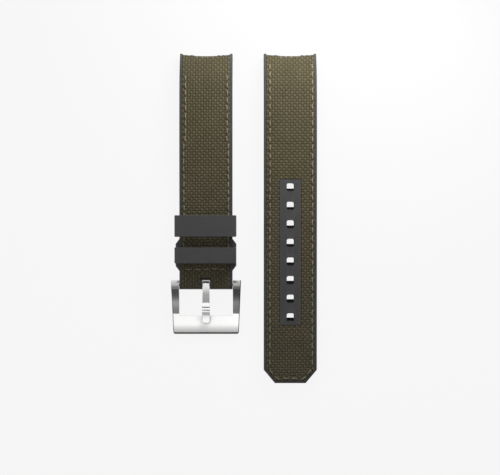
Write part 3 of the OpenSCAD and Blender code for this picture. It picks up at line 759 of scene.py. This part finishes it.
def painted_side_rims(m):
    """Painted shade: thin dark edges down both sides of the frame, where its edges lie in shade."""
    x, y = m.part("X"), m.part("Y")
    taper = m.math("MULTIPLY", m.math("SUBTRACT", BAR_Y, y), SIDE_TAPER)
    out = m.math("ADD", m.away(x, SHORT.x0 * MM), taper)
    rim = painted_rim_share(m, out, SIDE_HALF_MM, SIDE_PAINTED_RIM_MM)
    west, east = (
        m.ramp(y, share, 0.0, from_bar(last), from_bar(first))
        for first, last, share in (WEST_PAINTED_RIM_MM, EAST_PAINTED_RIM_MM))
    is_east = m.math("GREATER_THAN", x, SHORT.x0 * MM)
    east = m.math("MULTIPLY", east, is_east)
    west = m.math("MULTIPLY", west, m.math("SUBTRACT", 1.0, is_east))
    return m.math("MULTIPLY", rim, m.math("ADD", east, west))


def painted_pad_rim(m):
    """Painted shade: a thin dark edge round the tongue's pad, where its edge lies in shade."""
    y = m.part("Y")
    beside = m.away(m.part("X"), SHORT.x0 * MM)
    beside = m.math("SUBTRACT", beside, (PAD_HALF_MM - PAD_CORNER_MM) * MM)
    beyond = m.math("SUBTRACT", from_bar(PAD_TO_MM - PAD_CORNER_MM), y)
    squares = [m.math("POWER", m.math("MAXIMUM", v, 0.0), 2.0) for v in (beside, beyond)]
    out = m.math("SQRT", m.math("ADD", *squares))
    rim = painted_rim_share(m, out, PAD_CORNER_MM, PAD_PAINTED_RIM_MM, PAD_PAINTED_RIM_SHARE)
    return m.math("MULTIPLY", rim, m.math("LESS_THAN", y, from_bar(PAD_FROM_MM)))


def dress(node, material, bevel_mm=None):
    """Gives a solid's mesh its material and, with a bevel, soft edges and smooth shading."""
    obj = nodes[node]
    obj.data.materials.clear()
    obj.data.materials.append(material)
    if bevel_mm is None:
        return
    if obj.data.has_custom_normals:
        with bpy.context.temp_override(active_object=obj, object=obj, selected_objects=[obj]):
            bpy.ops.mesh.customdata_custom_splitnormals_clear()
    obj.data.polygons.foreach_set("use_smooth", [True] * len(obj.data.polygons))
    obj.modifiers.new("joined", "WELD").merge_threshold = WELD_MM * MM
    flats = obj.modifiers.new("flats", "DECIMATE")
    flats.decimate_type = "DISSOLVE"
    flats.angle_limit = FLAT_BELOW
    edges = obj.modifiers.new("edges", "BEVEL")
    edges.width = bevel_mm * MM
    edges.segments = BEVEL_SEGMENTS
    edges.limit_method = "ANGLE"
    edges.angle_limit = BEVEL_FROM
    edges.face_strength_mode = "FSTR_ALL"
    shading = obj.modifiers.new("shading", "WEIGHTED_NORMAL")
    shading.mode = "FACE_AREA_WITH_ANGLE"
    shading.use_face_influence = True


def half_spring(name, side, material):
    """Half of the bar's spring, to the side of x given as -1 or 1."""
    shape = bmesh.new()
    shape.from_mesh(nodes["bar_spring"].data)
    bmesh.ops.remove_doubles(shape, verts=shape.verts, dist=WELD_MM * MM)
    everything = list(shape.verts) + list(shape.edges) + list(shape.faces)
    middle = Vector((SHORT.x0 * MM, BAR_Y, 0))
    bmesh.ops.bisect_plane(
        shape, geom=everything, dist=ON_PLANE, plane_co=middle, plane_no=(-side, 0, 0),
        clear_outer=True)
    bmesh.ops.holes_fill(shape, edges=[e for e in shape.edges if e.is_boundary], sides=0)
    mesh = bpy.data.meshes.new(name)
    shape.to_mesh(mesh)
    shape.free()
    mesh.polygons.foreach_set("use_smooth", [True] * len(mesh.polygons))
    mesh.materials.append(material)
    obj = add_object(name, mesh)
    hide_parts("bar_spring")
    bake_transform(obj)


def grey(level):
    """An opaque grey colour."""
    return level, level, level, 1


def seen_rays(tree):
    """1 for rays from the camera, off gloss or through glass."""
    path = tree.nodes.new("ShaderNodeLightPath")
    total = path.outputs["Is Camera Ray"]
    for key in ("Is Glossy Ray", "Is Transmission Ray"):
        n = tree.nodes.new("ShaderNodeMath")
        n.operation = "MAXIMUM"
        tree.links.new(total, n.inputs[0])
        tree.links.new(path.outputs[key], n.inputs[1])
        total = n.outputs[0]
    return total


def floor():
    """The white floor. Rays that are seen meet an even glow with faint shadows, and the
    others meet white paint."""
    mat = bpy.data.materials.new("floor")
    mat.use_nodes = True
    tree = mat.node_tree
    tree.nodes.clear()
    out = tree.nodes.new("ShaderNodeOutputMaterial")
    paint = tree.nodes.new("ShaderNodeBsdfDiffuse")
    paint.inputs["Color"].default_value = grey(FLOOR_PAINT)
    glow = tree.nodes.new("ShaderNodeEmission")
    glow.inputs["Color"].default_value = grey(FLOOR_WHITE)
    seen = seen_rays(tree)
    share = tree.nodes.new("ShaderNodeMath")
    share.operation = "MULTIPLY"
    share.inputs[1].default_value = 1 - FLOOR_SHADOW
    tree.links.new(seen, share.inputs[0])
    both = tree.nodes.new("ShaderNodeMixShader")
    for socket, node in zip(both.inputs, (share, paint, glow)):
        tree.links.new(node.outputs[0], socket)
    tree.links.new(both.outputs[0], out.inputs[0])
    h = FLOOR_HALF
    return add_mesh("floor", [(-h, -h, 0), (h, -h, 0), (h, h, 0), (-h, h, 0)], [(0, 1, 2, 3)], mat)


def lamp(name, place, aim, size, power):
    """A rectangular lamp that is neither seen nor mirrored."""
    data = bpy.data.lights.new(name, "AREA")
    data.shape = "RECTANGLE"
    data.size, data.size_y = size
    data.energy = power
    obj = add_object(name, data)
    obj.location = place
    obj.rotation_euler = (Vector(aim) - Vector(place)).to_track_quat("-Z", "Y").to_euler()
    obj.visible_camera = False
    obj.visible_glossy = False


def levels(tree, value, stops):
    """Brightness by a direction's part from -1 to 1, through the given stops. New elements
    start half way, and each then gets its own place."""
    span = tree.nodes.new("ShaderNodeMapRange")
    span.inputs["From Min"].default_value = -1
    tree.links.new(value, span.inputs["Value"])
    ramp = tree.nodes.new("ShaderNodeValToRGB")
    elements = ramp.color_ramp.elements
    while len(elements) < len(stops):
        elements.new(0.5)
    for element, (place, level) in zip(elements, stops):
        element.position = (place + 1) / 2
        element.color = grey(level)
    tree.links.new(span.outputs[0], ramp.inputs[0])
    return ramp.outputs["Color"]


def blend(tree, share, a, b):
    """Colour that goes from a to b by share, each a socket or a grey level."""
    n = tree.nodes.new("ShaderNodeMix")
    n.data_type = "RGBA"
    tree.links.new(share, n.inputs[0])
    for socket, value in ((n.inputs[6], a), (n.inputs[7], b)):
        if isinstance(value, float):
            socket.default_value = grey(value)
        else:
            tree.links.new(value, socket)
    return n.outputs[2]


def times(tree, a, b):
    """The product of two colours."""
    n = tree.nodes.new("ShaderNodeMix")
    n.data_type, n.blend_type = "RGBA", "MULTIPLY"
    n.inputs[0].default_value = 1
    tree.links.new(a, n.inputs[6])
    tree.links.new(b, n.inputs[7])
    return n.outputs[2]


def studio_world():
    """The room that lights the scene. The camera sees plain white in its place."""
    world = bpy.data.worlds.new("studio")
    bpy.context.scene.world = world
    world.use_nodes = True
    tree = world.node_tree
    parts = tree.nodes.new("ShaderNodeSeparateXYZ")
    tree.links.new(tree.nodes.new("ShaderNodeTexCoord").outputs["Generated"], parts.inputs[0])
    east, north = parts.outputs["X"], parts.outputs["Y"]
    fade = blend(tree, levels(tree, north, FADE_SHARE), 1.0, levels(tree, east, STRIP_FADE))
    strip = times(tree, levels(tree, north, STRIP_LEVELS), fade)
    rest = times(tree, levels(tree, east, SIDE_LEVELS), levels(tree, north, DEPTH_LEVELS))
    room = blend(tree, levels(tree, east, STRIP_SHARE), rest, strip)
    seen = tree.nodes.new("ShaderNodeLightPath").outputs["Is Camera Ray"]
    seen_room = blend(tree, seen, room, FLOOR_WHITE)
    tree.links.new(seen_room, tree.nodes["Background"].inputs["Color"])


warp_yarn = yarn("warp_yarn", *WARP_YARN)
weft_yarn = yarn("weft_yarn", *WEFT_YARN)
sewing = yarn("sewing_thread", *SEWING_YARN)
bond = yarn("bonded_sheet", *BOND_YARN)
holes_y = [float(LONG.world(0, t, 0)[1]) for t in HOLES_MM]
strap_rubber = rubber("strap_rubber", *STRAP_RUBBER, (LONG.x0 * MM, *holes_y))
keeper_rubber = rubber("keeper_rubber", *KEEPER_RUBBER)
# The frame and the tongue carry painted shade: dark bands and thin dark rims in their colour
frame_steel = steel(
    "frame_steel", [satin_zone(*PLATE_SATIN_MM)], painted_shade_bands(FRAME_PAINTED_SHADE_MM), painted_side_rims,
    [from_bar(d) for d in DULL_ENDS_MM])
tongue_steel = steel(
    "tongue_steel", [satin_zone(*CURL_SATIN_MM, CURL_FADE_MM), satin_zone(*LEVEL_SATIN_MM)],
    painted_shade_bands(TONGUE_PAINTED_SHADE_MM), painted_pad_rim)
bar_steel = steel("bar_steel")

dress("long_strap_base", strap_rubber)
dress("short_strap_base", strap_rubber)
dress("fixed_keeper", keeper_rubber, KEEPER_BEVEL_MM)
dress("free_keeper", keeper_rubber, KEEPER_BEVEL_MM)
dress("buckle_frame", frame_steel, FRAME_BEVEL_MM)
dress("buckle_tongue", tongue_steel, TONGUE_BEVEL_MM)
for node in ("bar_tube", "bar_plunger_left", "bar_plunger_right"):
    dress(node, bar_steel, BAR_BEVEL_MM)

half_spring("spring_left", -1, bar_steel)
half_spring("spring_right", 1, bar_steel)

for strap, name in ((LONG, "long"), (SHORT, "short")):
    warp = threads(strap, name + "_warp", True, warp_yarn)
    weft = threads(strap, name + "_weft", False, weft_yarn)
    sewn = long_stitches(sewing) if strap is LONG else short_stitches(sewing)
    back, flat, area = sheet(strap, name + "_textile", bond)
    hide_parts(strap.fabric)
    for piece in (warp, weft, sewn, back):
        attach(piece, strap.body)

studio_world()
lamp("key", KEY_PLACE, KEY_AIM, KEY_SIZE, KEY_POWER)
floor()

camera = add_object("camera", bpy.data.cameras.new("camera"))
bpy.context.scene.camera = camera
camera.data.lens = CAMERA_LENS
camera.data.sensor_width = SENSOR_W
camera.data.clip_start = CAMERA_CLIP
view_way = Vector((0, math.sin(CAMERA_LEAN), -math.cos(CAMERA_LEAN)))
camera.location = Vector(CAMERA_AIM_MM) * MM - view_way * CAMERA_FAR_MM * MM
camera.rotation_euler = (CAMERA_LEAN, 0, 0)
bpy.context.scene.view_settings.view_transform = "Standard"
